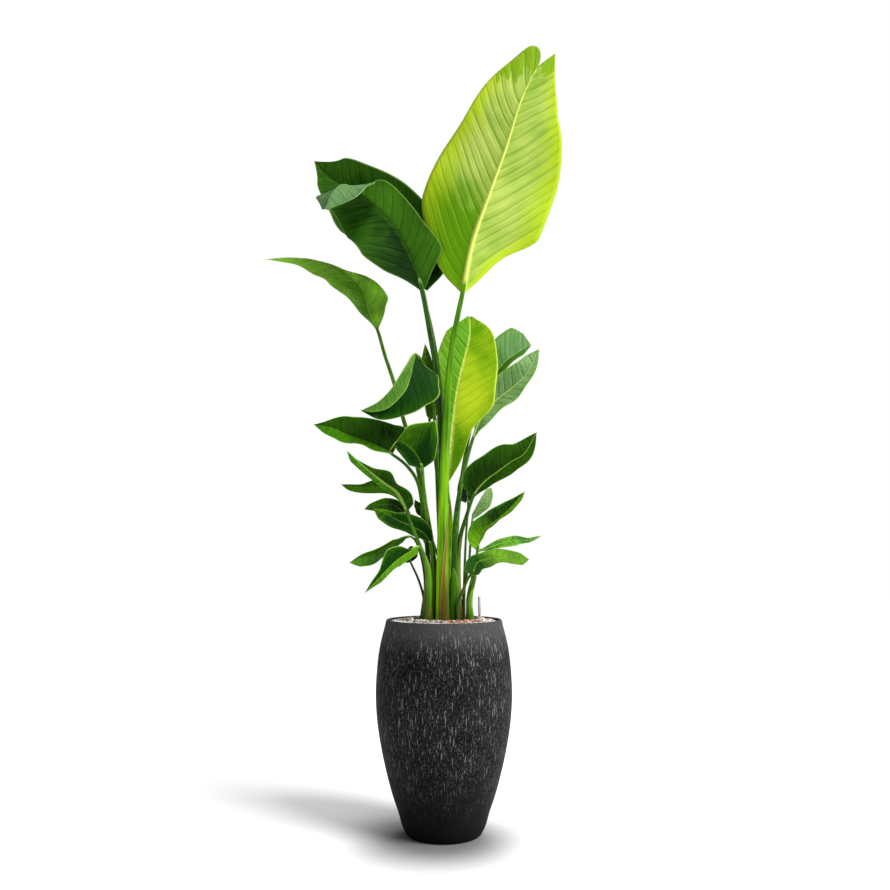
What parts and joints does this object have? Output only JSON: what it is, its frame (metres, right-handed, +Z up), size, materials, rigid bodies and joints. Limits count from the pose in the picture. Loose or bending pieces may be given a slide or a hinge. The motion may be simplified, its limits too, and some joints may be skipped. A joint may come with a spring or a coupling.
{
  "type": "potted bird of paradise",
  "caption": "Tall bird of paradise plant with long stalks and broad ribbed leaves in a rounded charcoal planter, topped with pumice and clay granules, with a water gauge.",
  "frame": {"origin": "centre of the planter's flat foot, on the floor", "axes": "+Z up through the planter, -Y towards the front, from which the picture was taken"},
  "size_m": [0.9268, 0.4858, 2.2597],
  "materials": {
    "planter": "matte charcoal with fine vertical streaks",
    "growing_medium": "dark crumbly potting mix",
    "pumice_layer": "pale pumice pebbles",
    "clay_granules": "orange baked clay granules",
    "gauge_sleeve": "white moulded plastic",
    "gauge_sight_tube": "clear plastic",
    "gauge_float": "red plastic",
    "bright_leaf": "backlit yellow-green leaf, pale midrib",
    "fresh_leaf": "mid-green leaf",
    "deep_leaf": "dark glossy green leaf"
  },
  "bodies": {
    "root": {"planter": "planter", "growing_medium": "growing_medium", "pumice_layer": "pumice_layer", "clay_granules": "clay_granules", "gauge_sleeve": "gauge_sleeve", "gauge_sight_tube": "gauge_sight_tube", "gauge_float": "gauge_float", "great_leaf": "bright_leaf", "front_leaf": "deep_leaf", "back_leaf": "deep_leaf", "far_left_leaf": "fresh_leaf", "cupped_left_leaf": "fresh_leaf", "hidden_upright_leaf": "fresh_leaf", "bright_middle_leaf": "bright_leaf", "right_back_leaf": "fresh_leaf", "right_upper_leaf": "deep_leaf", "left_level_leaf": "deep_leaf", "centre_left_leaf": "fresh_leaf", "right_dark_leaf": "deep_leaf", "right_shade_leaf": "deep_leaf", "left_diagonal_leaf": "deep_leaf", "left_small_leaf": "deep_leaf", "left_shade_leaf": "deep_leaf", "left_broad_leaf": "fresh_leaf", "shade_bud_leaf": "deep_leaf", "twisted_left_leaf": "deep_leaf", "lower_left_leaf": "fresh_leaf", "low_back_leaf": "deep_leaf", "right_pointed_leaf": "fresh_leaf", "right_small_leaf": "deep_leaf", "right_low_leaf": "fresh_leaf", "lower_right_leaf": "fresh_leaf"}
  },
  "joints": []
}
